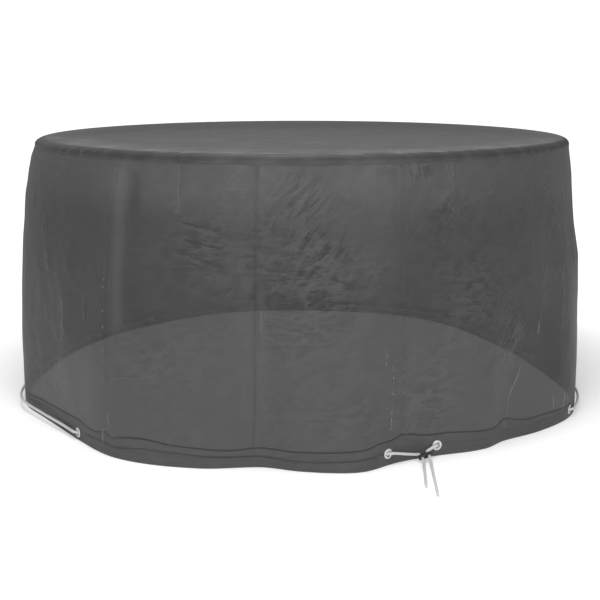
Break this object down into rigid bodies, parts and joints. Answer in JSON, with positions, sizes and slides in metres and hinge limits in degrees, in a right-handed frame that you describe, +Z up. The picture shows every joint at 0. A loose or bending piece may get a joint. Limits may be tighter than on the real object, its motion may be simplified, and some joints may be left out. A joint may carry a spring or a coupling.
{
  "type": "round patio furniture cover",
  "caption": "Round fitted cover of dark, slightly sheer cloth: flat top, draped side wall, deep hem with pressed eyelets, and a white drawcord tied at a toggle in front.",
  "frame": {"origin": "underside of the top at its centre, where the cover is held up", "axes": "+Z up, -Y towards the front, where the drawcord is tied, +X to the right seen from the front"},
  "size_m": [1.9909, 2.2841, 0.919],
  "materials": {
    "cover_cloth": "soft sheen, lightly crumpled woven film",
    "eyelet_metal": "bright pressed metal",
    "cord_braid": "matt white braid",
    "toggle_plastic": "black moulded plastic"
  },
  "bodies": {
    "root": {"top_panel": "cover_cloth", "side_wall": "cover_cloth", "eyelet_front_left_of_tie": "eyelet_metal", "eyelet_left_front": "eyelet_metal", "eyelet_left_rear": "eyelet_metal", "eyelet_rear_left": "eyelet_metal", "eyelet_rear": "eyelet_metal", "eyelet_right_rear": "eyelet_metal", "eyelet_right_front": "eyelet_metal", "eyelet_front_right_of_tie": "eyelet_metal", "drawcord": "cord_braid", "tie_end_left": "cord_braid", "tie_end_right": "cord_braid", "cord_toggle": "toggle_plastic"}
  },
  "joints": []
}
